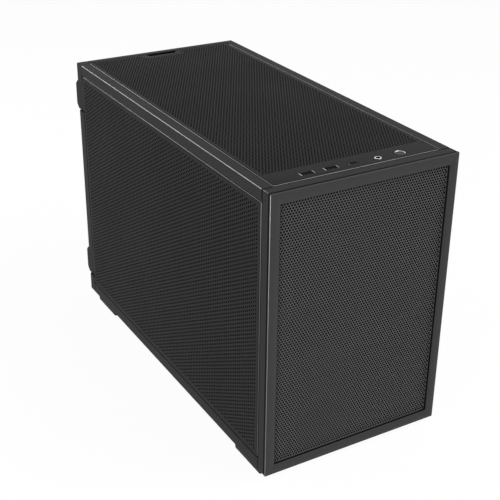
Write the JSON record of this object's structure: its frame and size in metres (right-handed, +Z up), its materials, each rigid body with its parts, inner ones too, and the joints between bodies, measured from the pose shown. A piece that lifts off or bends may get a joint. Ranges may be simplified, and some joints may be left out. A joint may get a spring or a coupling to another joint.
{
  "type": "computer case",
  "caption": "Compact upright computer case: folded steel chassis, lift-off perforated panels, top ports and power button, rear slots and mains inlet",
  "frame": {"origin": "centre of the footprint, on the surface that the feet stand on", "axes": "+Z up, front panel towards -Y, side panels at -X and +X, the board tray near the +X side"},
  "size_m": [0.186, 0.403, 0.2745],
  "materials": {
    "chassis_steel": "fine textured charcoal powder coat",
    "panel_steel": "fine textured charcoal powder coat on perforated sheet",
    "front_trim": "satin charcoal powder coat",
    "black_plastic": "moulded black plastic",
    "foot_rubber": "matt black rubber",
    "plated_metal": "bright plated steel",
    "circuit_board": "solder mask over glass laminate"
  },
  "bodies": {
    "chassis": {"front_frame": "chassis_steel", "top_frame": "chassis_steel", "bottom_panel": "chassis_steel", "rear_panel": "chassis_steel", "motherboard_tray": "chassis_steel", "psu_bracket": "chassis_steel", "port_shelf": "chassis_steel", "slot_cover_1": "chassis_steel", "slot_cover_2": "chassis_steel", "slot_cover_3": "chassis_steel", "slot_cover_4": "chassis_steel", "slot_shield": "chassis_steel", "ac_inlet": "black_plastic", "audio_jack": "black_plastic", "button_guide": "black_plastic", "power_switch": "black_plastic", "usb_a_1_insert": "black_plastic", "usb_a_2_insert": "black_plastic", "usb_c_insert": "black_plastic", "foot_front_left": "foot_rubber", "foot_front_right": "foot_rubber", "foot_rear_left": "foot_rubber", "foot_rear_right": "foot_rubber", "inlet_blade_earth": "plated_metal", "inlet_blade_line": "plated_metal", "inlet_blade_neutral": "plated_metal", "inlet_screw_left": "plated_metal", "inlet_screw_right": "plated_metal", "slot_thumbscrew_1": "plated_metal", "slot_thumbscrew_2": "plated_metal", "usb_a_1_shell": "plated_metal", "usb_a_2_shell": "plated_metal", "usb_c_shell": "plated_metal", "port_board": "circuit_board"},
    "front_panel": {"front_bezel": "front_trim", "front_mesh": "front_trim", "front_stud_1": "plated_metal", "front_stud_2": "plated_metal", "front_stud_3": "plated_metal", "front_stud_4": "plated_metal"},
    "lid": {"top_panel": "panel_steel", "top_stud_1": "plated_metal", "top_stud_2": "plated_metal", "top_stud_3": "plated_metal", "top_stud_4": "plated_metal"},
    "left_panel": {"left_side_panel": "panel_steel", "left_stud_1": "plated_metal", "left_stud_2": "plated_metal", "left_stud_3": "plated_metal", "left_stud_4": "plated_metal"},
    "right_panel": {"right_side_panel": "panel_steel", "right_stud_1": "plated_metal", "right_stud_2": "plated_metal", "right_stud_3": "plated_metal", "right_stud_4": "plated_metal"},
    "button": {"power_button": "black_plastic"}
  },
  "joints": [
    {"name": "front_panel_pull", "type": "slide", "parent": "chassis", "child": "front_panel", "axis": [0, -1, 0], "range_m": [0, 0.04]},
    {"name": "top_panel_lift", "type": "slide", "parent": "chassis", "child": "lid", "axis": [0, 0, 1], "range_m": [0, 0.06]},
    {"name": "left_panel_pull", "type": "slide", "parent": "chassis", "child": "left_panel", "axis": [-1, 0, 0], "range_m": [0, 0.08]},
    {"name": "right_panel_pull", "type": "slide", "parent": "chassis", "child": "right_panel", "axis": [1, 0, 0], "range_m": [0, 0.08]},
    {"name": "power_button_press", "type": "slide", "parent": "chassis", "child": "button", "axis": [0, 0, -1], "range_m": [0, 0.0012], "stiffness_N_per_m": 400}
  ]
}
